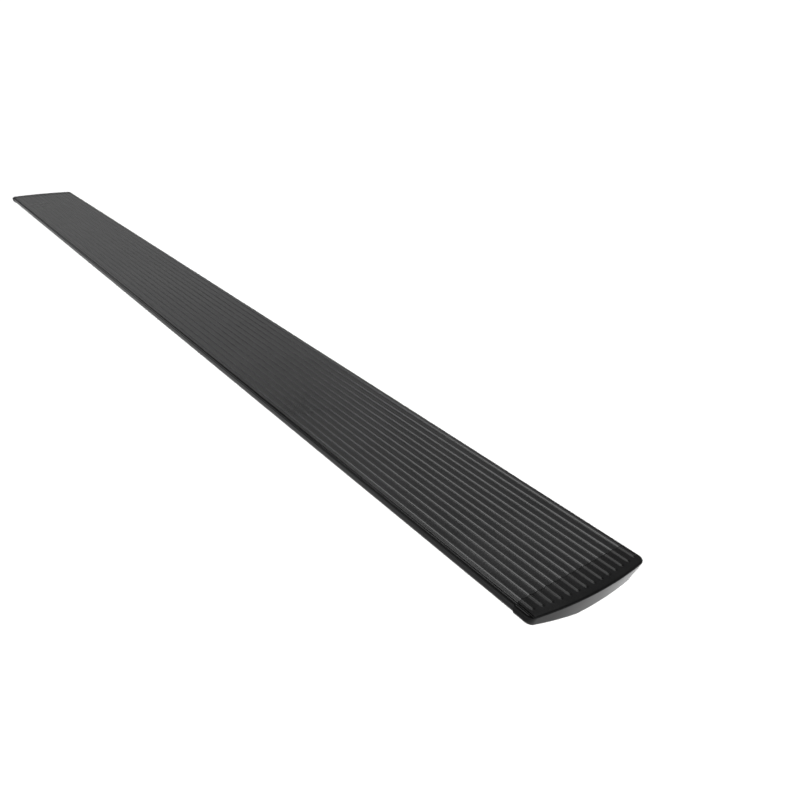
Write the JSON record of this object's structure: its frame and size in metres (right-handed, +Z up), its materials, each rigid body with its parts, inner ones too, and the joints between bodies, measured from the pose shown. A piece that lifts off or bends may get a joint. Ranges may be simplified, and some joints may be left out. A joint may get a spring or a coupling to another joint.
{
  "type": "running board",
  "caption": "Wide flat truck running board: ribbed black aluminium extrusion with bowed moulded end caps and sliding T-bolts in two channels underneath.",
  "frame": {"origin": "middle of the board's length and width, at the level of the end caps' undersides", "axes": "+X along the board, +Y across it towards the vehicle (the nose is at -Y), +Z up out of the tread"},
  "size_m": [2.09, 0.161, 0.0346],
  "materials": {
    "coated_aluminium": "fine-textured satin black powder coat",
    "cap_plastic": "fine-grained moulded black plastic",
    "black_steel": "black-coated steel",
    "zinc_steel": "bright zinc plate"
  },
  "bodies": {
    "board": {"board_extrusion": "coated_aluminium", "front_end_cap": "cap_plastic", "rear_end_cap": "cap_plastic", "front_cap_screws": "black_steel", "rear_cap_screws": "black_steel"},
    "front_outer_bolt": {"front_outer_t_bolt": "zinc_steel", "front_outer_washer": "zinc_steel", "front_outer_nut": "zinc_steel"},
    "front_inner_bolt": {"front_inner_t_bolt": "zinc_steel", "front_inner_washer": "zinc_steel", "front_inner_nut": "zinc_steel"},
    "middle_outer_bolt": {"middle_outer_t_bolt": "zinc_steel", "middle_outer_washer": "zinc_steel", "middle_outer_nut": "zinc_steel"},
    "middle_inner_bolt": {"middle_inner_t_bolt": "zinc_steel", "middle_inner_washer": "zinc_steel", "middle_inner_nut": "zinc_steel"},
    "rear_outer_bolt": {"rear_outer_t_bolt": "zinc_steel", "rear_outer_washer": "zinc_steel", "rear_outer_nut": "zinc_steel"},
    "rear_inner_bolt": {"rear_inner_t_bolt": "zinc_steel", "rear_inner_washer": "zinc_steel", "rear_inner_nut": "zinc_steel"}
  },
  "joints": [
    {"name": "front_outer_bolt_slide", "type": "slide", "parent": "board", "child": "front_outer_bolt", "axis": [1, 0, 0], "range_m": [-0.335, 0.29]},
    {"name": "front_inner_bolt_slide", "type": "slide", "parent": "board", "child": "front_inner_bolt", "axis": [1, 0, 0], "range_m": [-0.335, 0.29]},
    {"name": "middle_outer_bolt_slide", "type": "slide", "parent": "board", "child": "middle_outer_bolt", "axis": [1, 0, 0], "range_m": [-0.335, 0.335]},
    {"name": "middle_inner_bolt_slide", "type": "slide", "parent": "board", "child": "middle_inner_bolt", "axis": [1, 0, 0], "range_m": [-0.335, 0.335]},
    {"name": "rear_outer_bolt_slide", "type": "slide", "parent": "board", "child": "rear_outer_bolt", "axis": [1, 0, 0], "range_m": [-0.29, 0.335]},
    {"name": "rear_inner_bolt_slide", "type": "slide", "parent": "board", "child": "rear_inner_bolt", "axis": [1, 0, 0], "range_m": [-0.29, 0.335]}
  ]
}
